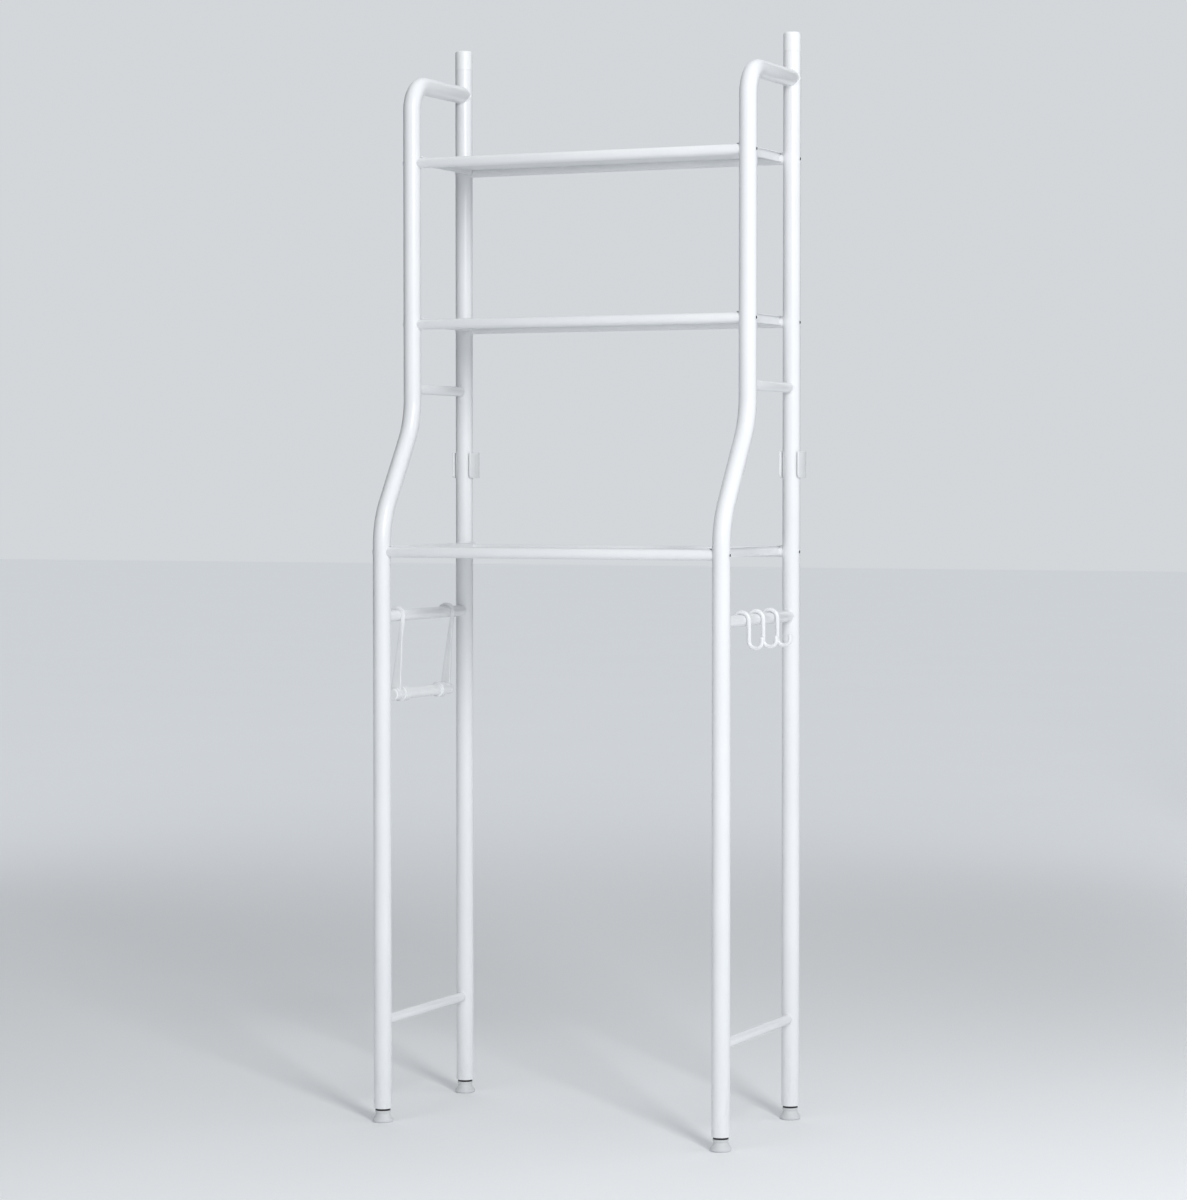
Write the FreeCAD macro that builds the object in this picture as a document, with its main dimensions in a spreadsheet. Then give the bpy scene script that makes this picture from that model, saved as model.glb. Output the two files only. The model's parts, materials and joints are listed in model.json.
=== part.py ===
import FreeCAD, Part
import math
import os
import Sketcher
from FreeCAD import Placement, Rotation, Vector

# Over-the-toilet storage rack: two welded tube side frames, joined by three bolted shelves.
# Millimetres, +Z up, +X to the right-hand side frame, -Y to the front.  The rear posts stand
# on the line y = 0 of the rack's own axes, and every sub-part is then moved by the same
# offset, so that the origin is on the floor at the middle of the whole rack's footprint.

doc = FreeCAD.newDocument("storage_rack")

# ---------------------------------------------------------------- driving dimensions (mm, deg)

SIZES = {
    # overall frame, between post axes
    "rack_width": 511,
    "upper_depth": 163,
    "lower_depth": 256,
    "rack_height": 1520,
    "post_diameter": 25,
    "post_wall": 0.8,
    "post_foot": 19.3,
    # front post: offset bend, then the top bend and the arm back to the rear post
    "offset_start": 807,
    "offset_radius": 107,
    "offset_angle": 33.5,
    "arm_height": 1456,
    "arm_radius": 38,
    # crossbars of the side frames
    "mid_bar_height": 1026,
    "mid_bar_diameter": 14,
    "hang_bar_height": 707.5,
    "hang_bar_diameter": 16,
    "low_bar_height": 142,
    "low_bar_diameter": 14,
    "bar_wall": 0.8,
    # shelves
    "top_shelf_height": 1344,
    "middle_shelf_height": 1117,
    "bottom_shelf_height": 797,
    "rail_diameter": 14.5,
    "rail_wall": 0.8,
    "channel_above": 9.3,
    "channel_below": 3.7,
    "channel_depth": 4,
    "channel_sheet": 1,
    "channel_gap": 0.7,
    "panel_sheet": 1,
    "panel_top": 3.8,
    # shelf bolts and the nut plugs in the rail ends
    "bolt_diameter": 6,
    "bolt_length": 40,
    "bolt_head": 9,
    "bolt_head_rise": 0.25,
    "bolt_head_rim": 0.15,
    "bolt_head_hole": 8.6,
    "bolt_socket": 4,
    "bolt_socket_depth": 1.8,
    "bolt_clearance": 0.25,
    "plug_inset": 3,
    "plug_length": 16,
    "plug_fit": 0.05,
    # caps of the rear posts
    "cap_height": 27,
    "cap_round": 3.5,
    "cap_wall": 2,
    "cap_spigot": 18,
    # levelling feet
    "foot_collar": 2.8,
    "foot_collar_diameter": 21,
    "foot_gap": 0.2,
    "foot_plug_depth": 24,
    "foot_pad_diameter": 28.5,
    "foot_pad_rim": 4.2,
    "foot_pad_round": 2.2,
    "foot_neck_diameter": 20.2,
    "foot_lip_diameter": 21.8,
    "foot_lip_height": 2.6,
    "foot_lip_round": 0.5,
    "foot_waist": 3.6,
    "foot_waist_round": 8,
    "stud_diameter": 8,
    "stud_embed": 10,
    "stud_reach": 22,
    "stud_chamfer": 1,
    "stud_clearance": 0.1,
    # wall clips, round the backs of the rear posts
    "clip_height": 37,
    "clip_middle": 919,
    "clip_wall": 2.2,
    "clip_front": 10.5,
    "clip_web": 5.5,
    "clip_corner": 6,
    "clip_slack": 0.05,
    "wall_pad_sheet": 1.5,
    # wire hooks on the right-hand bar
    "wire_diameter": 6,
    "wire_end_round": 2.6,
    "hook_gap": 0.15,
    "hook_radius": 9.4,
    "hook_drop": 27.7,
    "hook_tip": 6,
    "hook_wrap": 205,
    "first_hook": 71,
    "hook_spacing": 52.2,
    # toilet paper holder on the left-hand bar
    "arm_plate": 4.5,
    "arm_first": 44,
    "arm_spacing": 153,
    "arm_gap": 0.15,
    "arm_band": 5,
    "arm_hook_end": 22,
    "arm_knee_drop": 32,
    "arm_knee": 9,
    "arm_foot_inset": 1,
    "roller_drop": 111,
    "roller_shift": 1.5,
    "boss_diameter": 17,
    "boss_reach": 10,
    "boss_back": 11,
    "boss_round": 2,
    "peg_diameter": 10,
    "peg_clearance": 0.1,
    "peg_length": 8,
    "peg_end_gap": 0.5,
    "boss_gap": 1,
    "collar_diameter": 22,
    "collar_length": 16,
    "collar_round": 1,
    "roller_diameter": 16,
    "roller_wall": 1.6,
    "roller_spigot": 12,
}

sheet = doc.addObject("Spreadsheet::Sheet", "Sizes")
for row, (alias, number) in enumerate(SIZES.items(), start=1):
    sheet.set(f"A{row}", alias)
    sheet.set(f"B{row}", str(number))
    sheet.setAlias(f"B{row}", alias)
doc.recompute()


class Size:
    """A length with both its value and the spreadsheet expression that gives it."""

    def __init__(self, value, text):
        self.value = float(value)
        self.text = text

    def __add__(self, other):
        other = as_size(other)
        return Size(self.value + other.value, f"({self.text} + {other.text})")

    def __sub__(self, other):
        other = as_size(other)
        return Size(self.value - other.value, f"({self.text} - {other.text})")

    def __mul__(self, number):
        return Size(self.value * number, f"({self.text} * {number})")

    def __truediv__(self, number):
        return Size(self.value / number, f"({self.text} / {number})")

    def __neg__(self):
        return Size(-self.value, f"(-1 * {self.text})")


def as_size(number):
    """A plain number as a Size, so that sums can mix the two."""
    if isinstance(number, Size):
        return number
    return Size(number, str(number))


def size(alias):
    """The spreadsheet cell with this alias."""
    return Size(sheet.get(alias), f"Sizes.{alias}")


WIDTH = size("rack_width")
POST = size("post_diameter")
RAIL = size("rail_diameter")
POST_BORE = POST - size("post_wall") * 2
CHANNEL_OUT = WIDTH / 2 - POST / 2 - size("channel_gap")
CHANNEL_IN = CHANNEL_OUT - size("channel_depth")
WIRE = size("wire_diameter")
HANG_BAR = size("hang_bar_diameter")
CLIP_BORE = POST / 2 + size("clip_slack")
CLIP_SIDE = CLIP_BORE + size("clip_wall")
WALL_FACE = CLIP_BORE + size("clip_web") + size("wall_pad_sheet")
HOOK_REACH = (HANG_BAR / 2 + size("hook_gap") + WIRE + size("hook_radius") * 2)

# Middle of the footprint: hooks reach furthest right, wall clips furthest left, foot pads
# furthest forward and wall pads furthest back.
ORIGIN_X = (CLIP_SIDE - HOOK_REACH) / 2
ORIGIN_Y = (size("lower_depth") + size("foot_pad_diameter") / 2 - WALL_FACE) / 2

SHELVES = ("bottom", "middle", "top")
SHELF_DEPTH = {"bottom": size("lower_depth"), "middle": size("upper_depth"),
               "top": size("upper_depth")}
SIDES = {"left": -1, "right": 1}

# How near a point has to be to count as being on a plane or a circle
TOUCH = 0.01

parts = {}

# ---------------------------------------------------------------- drawing helpers


def new_body(name):
    """A body for one sub-part, listed under its own name."""
    body = doc.addObject("PartDesign::Body", name)
    body.Label = name
    parts[name] = body
    return body


def place(item, x, y, z, rotation=None):
    """Stand a sub-part at x, y, z of the rack's axes, moved to the footprint origin."""
    if rotation is not None:
        item.Placement = Placement(Vector(), rotation)
    item.setExpression(".Placement.Base.x", (as_size(x) + ORIGIN_X).text)
    item.setExpression(".Placement.Base.y", (as_size(y) + ORIGIN_Y).text)
    item.setExpression(".Placement.Base.z", as_size(z).text)


def sketch_on(body, role, name, offset=None):
    """A sketch on one of the body's origin planes, optionally lifted off it."""
    sketch = body.newObject("Sketcher::SketchObject", f"{body.Name}_{name}")
    plane = next(item for item in body.Origin.OriginFeatures if item.Role == role)
    sketch.AttachmentSupport = (plane, [""])
    sketch.MapMode = "FlatFace"
    if offset is not None:
        sketch.AttachmentOffset = Placement(Vector(0, 0, offset.value), Rotation())
        sketch.setExpression(".AttachmentOffset.Base.z", offset.text)
    return sketch


def dimension(sketch, kind, *where):
    """Add a dimension whose value is the Size given last, and bind it to the sheet."""
    *points, amount = where
    index = sketch.addConstraint(Sketcher.Constraint(kind, *points, amount.value))
    sketch.setExpression(f"Constraints[{index}]", amount.text)
    return index


def fix_point(sketch, geometry, vertex, x, y):
    """Dimension one vertex from the sketch origin."""
    dimension(sketch, "DistanceX", -1, 1, geometry, vertex, as_size(x))
    dimension(sketch, "DistanceY", -1, 1, geometry, vertex, as_size(y))


def circle(sketch, diameter, x=0, y=0):
    """A dimensioned circle."""
    x = as_size(x)
    y = as_size(y)
    middle = Vector(x.value, y.value, 0)
    index = sketch.addGeometry(Part.Circle(middle, Vector(0, 0, 1), diameter.value / 2))
    fix_point(sketch, index, 3, x, y)
    dimension(sketch, "Diameter", index, diameter)
    return index


def outline(sketch, corners):
    """A closed straight-sided outline, with each corner dimensioned from the origin."""
    corners = [(as_size(x), as_size(y)) for x, y in corners]
    vectors = [Vector(x.value, y.value, 0) for x, y in corners]
    count = len(vectors)
    edges = []
    for index in range(count):
        line = Part.LineSegment(vectors[index], vectors[(index + 1) % count])
        edges.append(sketch.addGeometry(line))
    for index in range(count):
        follows = edges[(index + 1) % count]
        sketch.addConstraint(Sketcher.Constraint("Coincident", edges[index], 2, follows, 1))
    for edge, (x, y) in zip(edges, corners):
        fix_point(sketch, edge, 1, x, y)
    return edges


def pad(body, sketch, length):
    """Extrude a sketch by a bound length."""
    feature = body.newObject("PartDesign::Pad", f"{sketch.Name}_pad")
    feature.Profile = sketch
    feature.setExpression("Length", length.text)
    return feature


def pocket_through(body, sketch):
    """Cut a sketch right through the body, on both sides of its plane."""
    feature = body.newObject("PartDesign::Pocket", f"{sketch.Name}_pocket")
    feature.Profile = sketch
    feature.SideType = "Two sides"
    feature.Type = "ThroughAll"
    feature.Type2 = "ThroughAll"
    return feature


def pocket_outwards(body, sketch, side):
    """Cut a sketch on YZ through everything on one side of it, towards +X or -X."""
    feature = body.newObject("PartDesign::Pocket", f"{sketch.Name}_pocket")
    feature.Profile = sketch
    feature.Type = "ThroughAll"
    feature.Reversed = side > 0
    return feature


def revolve(body, sketch):
    """Turn a half outline, drawn on XZ, once around the body's Z axis."""
    feature = body.newObject("PartDesign::Revolution", f"{sketch.Name}_turned")
    feature.Profile = sketch
    axis = next(item for item in body.Origin.OriginFeatures if item.Role == "Z_Axis")
    feature.ReferenceAxis = (axis, [""])
    feature.Angle = 360
    return feature


def pipe(body, profile, path):
    """Sweep a profile sketch along a path sketch."""
    feature = body.newObject("PartDesign::AdditivePipe", f"{body.Name}_pipe")
    feature.Profile = profile
    feature.Spine = (path, [f"Edge{number + 1}" for number in range(path.GeometryCount)])
    return feature


def edges_where(shape, test):
    """Names of the edges whose middle point passes a test."""
    names = []
    for number, edge in enumerate(shape.Edges, start=1):
        if test(edge.valueAt((edge.FirstParameter + edge.LastParameter) / 2)):
            names.append(f"Edge{number}")
    return names


def rings_at(shape, radius, height):
    """Names of the circular edges round Z with this radius, at this height."""
    return edges_where(shape, lambda middle: abs(middle.z - height) < TOUCH
                       and abs(math.hypot(middle.x, middle.y) - radius) < TOUCH)


def flat_face_edges(shape):
    """Names of the edges that bound a flat face."""
    flats = [face for face in shape.Faces if face.Surface.TypeId == "Part::GeomPlane"]
    names = []
    for number, edge in enumerate(shape.Edges, start=1):
        if any(edge.isSame(other) for face in flats for other in face.Edges):
            names.append(f"Edge{number}")
    return names


def fillet(body, base, names, radius):
    """Round the named edges of the last feature."""
    feature = body.newObject("PartDesign::Fillet", f"{body.Name}_round")
    feature.Base = (base, names)
    feature.setExpression("Radius", radius.text)
    return feature


# Directions for bars drawn along their own Z, with their X along the posts.
ALONG_Y = Rotation(Vector(0, 0, 1), Vector(1, 0, 0), Vector(0, 1, 0), "ZXY")
ALONG_X = Rotation(Vector(0, 0, 1), Vector(0, -1, 0), Vector(1, 0, 0), "ZXY")

# ---------------------------------------------------------------- side frames


def ring_sketch(body, outer, wall, offset=None, y=0):
    """The section of a round tube."""
    sketch = sketch_on(body, "XY_Plane", "section", offset)
    circle(sketch, outer, 0, y)
    circle(sketch, outer - wall * 2, 0, y)
    return sketch


def coped_bar(name, outer, wall, span):
    """A tube between two post axes, with both ends shaped to the posts' round sides."""
    body = new_body(name)
    pad(body, ring_sketch(body, outer, wall), span)
    posts = sketch_on(body, "YZ_Plane", "posts")
    circle(posts, POST, 0, 0)
    circle(posts, POST, 0, span)
    pocket_through(body, posts)
    return body


def bolt_holes(body, side, front):
    """Holes for the shelf bolts: a plain one in each wall, opened out for the head outside."""
    shank = sketch_on(body, "YZ_Plane", "shank_holes")
    head = sketch_on(body, "YZ_Plane", "head_holes")
    for shelf in SHELVES:
        y = -SHELF_DEPTH[shelf] if front else 0
        z = size(f"{shelf}_shelf_height")
        circle(shank, size("bolt_diameter") + size("bolt_clearance") * 2, y, z)
        circle(head, size("bolt_head_hole"), y, z)
    pocket_through(body, shank)
    pocket_outwards(body, head, side)


def front_post_path(body):
    """Centre line of a front post: up, back through the offset bend, up, and back as the arm."""
    sketch = sketch_on(body, "YZ_Plane", "path")
    angle = math.radians(SIZES["offset_angle"])
    radius = SIZES["offset_radius"]
    low = -SIZES["lower_depth"]
    high = -SIZES["upper_depth"]
    turn = SIZES["arm_radius"]
    side = radius * (1 - math.cos(angle))
    rise = radius * math.sin(angle)
    slope_run = high - low - 2 * side
    start = SIZES["offset_start"]
    slope_start = Vector(low + side, start + rise, 0)
    slope_end = slope_start + Vector(slope_run, slope_run / math.tan(angle), 0)
    finish = slope_end.y + rise
    arm = SIZES["arm_height"]

    def arc(centre, size_of_arc, first, last):
        """An arc drawn anticlockwise between two angles in degrees."""
        whole = Part.Circle(centre, Vector(0, 0, 1), size_of_arc)
        return Part.ArcOfCircle(whole, math.radians(first), math.radians(last))

    tilt = SIZES["offset_angle"]
    leg = sketch.addGeometry(Part.LineSegment(Vector(low, SIZES["post_foot"], 0),
                                              Vector(low, start, 0)))
    bend_in = sketch.addGeometry(arc(Vector(low + radius, start, 0), radius, 180 - tilt, 180))
    slope = sketch.addGeometry(Part.LineSegment(slope_start, slope_end))
    bend_out = sketch.addGeometry(arc(Vector(high - radius, finish, 0), radius, -tilt, 0))
    upright = sketch.addGeometry(Part.LineSegment(Vector(high, finish, 0),
                                                  Vector(high, arm - turn, 0)))
    bend_back = sketch.addGeometry(arc(Vector(high + turn, arm - turn, 0), turn, 90, 180))
    reach = sketch.addGeometry(Part.LineSegment(Vector(high + turn, arm, 0), Vector(0, arm, 0)))

    # Each piece meets the next in a smooth tangent joint; arcs run anticlockwise.
    joints = ((leg, 2, bend_in, 2), (bend_in, 1, slope, 1), (slope, 2, bend_out, 1),
              (bend_out, 2, upright, 1), (upright, 2, bend_back, 2), (bend_back, 1, reach, 1))
    for joint in joints:
        sketch.addConstraint(Sketcher.Constraint("Tangent", *joint))
    sketch.addConstraint(Sketcher.Constraint("Vertical", leg))
    sketch.addConstraint(Sketcher.Constraint("Horizontal", reach))
    fix_point(sketch, leg, 1, -size("lower_depth"), size("post_foot"))
    dimension(sketch, "DistanceY", -1, 1, leg, 2, size("offset_start"))
    dimension(sketch, "Radius", bend_in, size("offset_radius"))
    sketch.addConstraint(Sketcher.Constraint("Equal", bend_in, bend_out))
    sketch.addConstraint(Sketcher.Constraint("Vertical", upright))
    dimension(sketch, "DistanceX", -1, 1, upright, 1, -size("upper_depth"))
    index = sketch.addConstraint(Sketcher.Constraint("Angle", slope, math.radians(90 - tilt)))
    sketch.setExpression(f"Constraints[{index}]", "(90 - Sizes.offset_angle) * 1 deg")
    dimension(sketch, "Radius", bend_back, size("arm_radius"))
    fix_point(sketch, reach, 2, 0, size("arm_height"))
    return sketch


def make_front_post(name, side):
    """A bent front post, whose arm ends in a saddle on the rear post."""
    body = new_body(name)
    section = ring_sketch(body, POST, size("post_wall"), size("post_foot"),
                          -size("lower_depth"))
    pipe(body, section, front_post_path(body))
    rear = sketch_on(body, "XY_Plane", "rear_post", size("arm_height"))
    circle(rear, POST)
    pocket_through(body, rear)
    bolt_holes(body, side, front=True)
    place(body, WIDTH / 2 * side, 0, 0)


def make_rear_post(name, side):
    """A straight rear post, open at both ends for its foot plug and its cap."""
    body = new_body(name)
    length = size("rack_height") - size("cap_height") - size("post_foot")
    pad(body, ring_sketch(body, POST, size("post_wall"), size("post_foot")), length)
    bolt_holes(body, side, front=False)
    place(body, WIDTH / 2 * side, 0, 0)


def make_crossbars(side_name, side):
    """The three bars that join a front post to its rear post."""
    hang_name = "left_paper_bar" if side < 0 else "right_hook_bar"
    rows = ((f"{side_name}_mid_crossbar", "mid_bar", size("upper_depth")),
            (hang_name, "hang_bar", size("lower_depth")),
            (f"{side_name}_bottom_crossbar", "low_bar", size("lower_depth")))
    for name, kind, span in rows:
        body = coped_bar(name, size(f"{kind}_diameter"), size("bar_wall"), span)
        place(body, WIDTH / 2 * side, -span, size(f"{kind}_height"), ALONG_Y)


def make_rear_cap(name, side):
    """A hollow plastic cap with a spigot that fits in the post."""
    body = new_body(name)
    top = size("rack_height")
    joint = top - size("cap_height")
    low = joint - size("cap_spigot")
    skin = size("cap_wall")
    spigot = POST_BORE / 2 - size("plug_fit")
    sketch = sketch_on(body, "XZ_Plane", "half")
    outline(sketch, [(0, top), (POST / 2, top), (POST / 2, joint), (spigot, joint),
                     (spigot, low), (spigot - skin, low), (spigot - skin, top - skin),
                     (0, top - skin)])
    turned = revolve(body, sketch)
    doc.recompute()
    fillet(body, turned, rings_at(turned.Shape, POST.value / 2, top.value), size("cap_round"))
    place(body, WIDTH / 2 * side, 0, 0)


def rectangle(sketch, left, right, front, back):
    """An upright rectangle between two x and two y positions."""
    return outline(sketch, [(left, front), (right, front), (right, back), (left, back)])


def make_wall_clip(name, side):
    """A saddle on the back of the post: a web to the wall and two plates that reach forward."""
    body = new_body(name)
    front = -size("clip_front")
    low = size("clip_middle") - size("clip_height") / 2
    block = sketch_on(body, "XY_Plane", "block", low)
    rectangle(block, -CLIP_SIDE, CLIP_SIDE, front, CLIP_BORE + size("clip_web"))
    solid = pad(body, block, size("clip_height"))
    doc.recompute()
    corner = edges_where(solid.Shape, lambda middle: abs(middle.z - low.value) < TOUCH
                         and abs(middle.y - front.value) < TOUCH)
    fillet(body, solid, corner, size("clip_corner"))
    post = sketch_on(body, "XY_Plane", "post", low)
    circle(post, CLIP_BORE * 2)
    pocket_through(body, post)
    mouth = sketch_on(body, "XY_Plane", "mouth", low)
    rectangle(mouth, -CLIP_BORE, CLIP_BORE, front * 2, 0)
    pocket_through(body, mouth)
    place(body, WIDTH / 2 * side, 0, 0)


def make_wall_pad(name, side):
    """The adhesive foam pad between a clip's web and the wall."""
    pad_box = doc.addObject("Part::Box", name)
    pad_box.Label = name
    pad_box.setExpression("Length", (CLIP_SIDE * 2).text)
    pad_box.setExpression("Width", size("wall_pad_sheet").text)
    pad_box.setExpression("Height", size("clip_height").text)
    place(pad_box, WIDTH / 2 * side - CLIP_SIDE, WALL_FACE - size("wall_pad_sheet"),
          size("clip_middle") - size("clip_height") / 2)
    parts[name] = pad_box


for side_name, side in SIDES.items():
    make_front_post(f"{side_name}_front_post", side)
    make_rear_post(f"{side_name}_rear_post", side)
    make_crossbars(side_name, side)
    make_rear_cap(f"{side_name}_rear_cap", side)
    make_wall_clip(f"{side_name}_wall_clip", side)
    make_wall_pad(f"{side_name}_wall_pad", side)

# ---------------------------------------------------------------- shelves


def make_panel(name, shelf):
    """The flat sheet floor, trimmed to the round rails."""
    body = new_body(name)
    depth = SHELF_DEPTH[shelf]
    top = size(f"{shelf}_shelf_height") + size("panel_top")
    floor = sketch_on(body, "XY_Plane", "floor", top - size("panel_sheet"))
    outline(floor, [(-CHANNEL_IN, -depth), (CHANNEL_IN, -depth), (CHANNEL_IN, 0),
                    (-CHANNEL_IN, 0)])
    pad(body, floor, size("panel_sheet"))
    rails = sketch_on(body, "YZ_Plane", "rails")
    circle(rails, RAIL, -depth, size(f"{shelf}_shelf_height"))
    circle(rails, RAIL, 0, size(f"{shelf}_shelf_height"))
    pocket_through(body, rails)
    place(body, 0, 0, 0)


def make_channel(name, shelf, side):
    """A folded side channel of a shelf, open to the outside and coped over both rails."""
    body = new_body(name)
    depth = SHELF_DEPTH[shelf]
    axis = size(f"{shelf}_shelf_height")
    high = axis + size("channel_above")
    low = axis - size("channel_below")
    skin = size("channel_sheet")
    outer = CHANNEL_OUT * side
    inner = CHANNEL_IN * side
    web = (CHANNEL_IN + skin) * side
    section = sketch_on(body, "XZ_Plane", "section")
    outline(section, [(inner, low), (outer, low), (outer, low + skin), (web, low + skin),
                      (web, high - skin), (outer, high - skin), (outer, high), (inner, high)])
    pad(body, section, depth)
    rails = sketch_on(body, "YZ_Plane", "rails")
    circle(rails, RAIL, -depth, axis)
    circle(rails, RAIL, 0, axis)
    pocket_through(body, rails)
    place(body, 0, 0, 0)


def corner_copies(name, master, shelf, inset):
    """Four separate copies of one fastener, one at each end of a shelf's two rails."""
    links = []
    for side_name, side in SIDES.items():
        for row in ("front", "rear"):
            link = doc.addObject("App::Link", f"{name}_{side_name}_{row}")
            link.LinkedObject = master
            inward = Rotation(Vector(0, 1, 0), -90 * side)
            link.LinkPlacement = Placement(Vector(), inward)
            x = (WIDTH / 2 + inset) * side + ORIGIN_X
            y = (-SHELF_DEPTH[shelf] if row == "front" else as_size(0)) + ORIGIN_Y
            link.setExpression(".LinkPlacement.Base.x", x.text)
            link.setExpression(".LinkPlacement.Base.y", y.text)
            link.setExpression(".LinkPlacement.Base.z", size(f"{shelf}_shelf_height").text)
            links.append(link)
    group = doc.addObject("Part::Compound", name)
    group.Label = name
    group.Links = links
    parts[name] = group


def make_bolt():
    """A flat bolt, conical under its head, with a hexagon socket; its Z runs to the tip."""
    body = doc.addObject("PartDesign::Body", "bolt_pattern_piece")
    head = size("bolt_head") / 2
    shank = size("bolt_diameter") / 2
    top = -size("bolt_head_rise")
    cone = top + size("bolt_head_rim")
    half = sketch_on(body, "XZ_Plane", "half")
    outline(half, [(0, top), (head, top), (head, cone), (shank, cone + head - shank),
                   (shank, size("bolt_length")), (0, size("bolt_length"))])
    revolve(body, half)
    socket = sketch_on(body, "XY_Plane", "socket", top)
    corner = SIZES["bolt_socket"] / math.sqrt(3)
    vectors = [Vector(corner * math.cos(math.radians(60 * turn)),
                      corner * math.sin(math.radians(60 * turn)), 0) for turn in range(6)]
    lines = [socket.addGeometry(Part.LineSegment(vectors[turn], vectors[(turn + 1) % 6]))
             for turn in range(6)]
    ring = socket.addGeometry(Part.Circle(Vector(), Vector(0, 0, 1), corner), True)
    for turn in range(6):
        follows = lines[(turn + 1) % 6]
        socket.addConstraint(Sketcher.Constraint("Coincident", lines[turn], 2, follows, 1))
        socket.addConstraint(Sketcher.Constraint("PointOnObject", lines[turn], 1, ring))
    for turn in range(1, 6):
        socket.addConstraint(Sketcher.Constraint("Equal", lines[0], lines[turn]))
    socket.addConstraint(Sketcher.Constraint("Coincident", ring, 3, -1, 1))
    socket.addConstraint(Sketcher.Constraint("PointOnObject", lines[0], 1, -1))
    dimension(socket, "Distance", lines[1], 1, lines[1], 2, size("bolt_socket") / math.sqrt(3))
    cut = body.newObject("PartDesign::Pocket", "bolt_socket_cut")
    cut.Profile = socket
    cut.Reversed = True
    cut.setExpression("Length", size("bolt_socket_depth").text)
    return body


def make_nut_plug():
    """A round plug with a through thread, for the end of a rail; its Z runs inwards."""
    body = doc.addObject("PartDesign::Body", "nut_plug_pattern_piece")
    section = sketch_on(body, "XY_Plane", "section", POST + size("plug_inset"))
    circle(section, RAIL - size("rail_wall") * 2 - size("plug_fit") * 2)
    circle(section, size("bolt_diameter") + size("plug_fit") * 2)
    pad(body, section, size("plug_length"))
    return body


bolt = make_bolt()
nut_plug = make_nut_plug()
for shelf in SHELVES:
    for row, y in (("front", -SHELF_DEPTH[shelf]), ("rear", as_size(0))):
        rail = coped_bar(f"{shelf}_shelf_{row}_rail", RAIL, size("rail_wall"), WIDTH)
        place(rail, -WIDTH / 2, y, size(f"{shelf}_shelf_height"), ALONG_X)
    for side_name, side in SIDES.items():
        make_channel(f"{shelf}_shelf_{side_name}_channel", shelf, side)
    make_panel(f"{shelf}_shelf_panel", shelf)
    corner_copies(f"{shelf}_shelf_nut_plugs", nut_plug, shelf, POST / 2)
    corner_copies(f"{shelf}_shelf_bolts", bolt, shelf, POST / 2)

# ---------------------------------------------------------------- levelling feet


def make_foot_plug(name):
    """The black plug in the bottom of a post, threaded for the stud, with a collar below."""
    body = new_body(name)
    mouth = size("post_foot")
    base = mouth - size("foot_collar")
    top = mouth + size("foot_plug_depth")
    collar = size("foot_collar_diameter") / 2
    bore = size("stud_diameter") / 2 + size("stud_clearance")
    spigot = POST_BORE / 2 - size("plug_fit")
    half = sketch_on(body, "XZ_Plane", "half")
    outline(half, [(bore, base), (collar, base), (collar, mouth), (spigot, mouth),
                   (spigot, top), (bore, top)])
    revolve(body, half)
    return body


def make_foot_stud(name):
    """The threaded stud, moulded into the foot pad."""
    body = new_body(name)
    base = size("post_foot") - size("foot_collar") - size("stud_embed")
    radius = size("stud_diameter") / 2
    chamfer = size("stud_chamfer")
    tip = size("post_foot") + size("stud_reach")
    half = sketch_on(body, "XZ_Plane", "half")
    outline(half, [(0, base), (radius, base), (radius, tip - chamfer), (radius - chamfer, tip),
                   (0, tip)])
    revolve(body, half)
    return body


def make_foot_pad(name):
    """The foot: a lip at the top, a hollow waist and a wide base with a rounded edge."""
    body = new_body(name)
    top = size("post_foot") - size("foot_collar") - size("foot_gap")
    lip = size("foot_lip_diameter") / 2
    neck = size("foot_neck_diameter") / 2
    base = size("foot_pad_diameter") / 2
    rim = size("foot_pad_rim")
    waist = top - size("foot_lip_height")
    shoulder = waist - size("foot_waist")
    socket = size("stud_diameter") / 2
    bottom = size("post_foot") - size("foot_collar") - size("stud_embed")
    half = sketch_on(body, "XZ_Plane", "half")
    outline(half, [(0, 0), (base, 0), (base, rim), (neck, shoulder), (neck, waist),
                   (lip, waist), (lip, top), (socket, top), (socket, bottom), (0, bottom)])
    solid = revolve(body, half)
    for radius, places in ((size("foot_waist_round"), ((neck, shoulder),)),
                           (size("foot_pad_round"), ((base, as_size(0)), (base, rim))),
                           (size("foot_lip_round"), ((lip, waist), (lip, top)))):
        doc.recompute()
        names = []
        for reach, height in places:
            names += rings_at(solid.Shape, reach.value, height.value)
        solid = fillet(body, solid, names, radius)
    return body


for side_name, side in SIDES.items():
    for row, y in (("front", -size("lower_depth")), ("rear", as_size(0))):
        corner = f"{side_name}_{row}_foot"
        for piece in (make_foot_plug(f"{corner}_plug"), make_foot_stud(f"{corner}_stud"),
                      make_foot_pad(f"{corner}_pad")):
            place(piece, WIDTH / 2 * side, y, 0)

# ---------------------------------------------------------------- wire hooks


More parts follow.
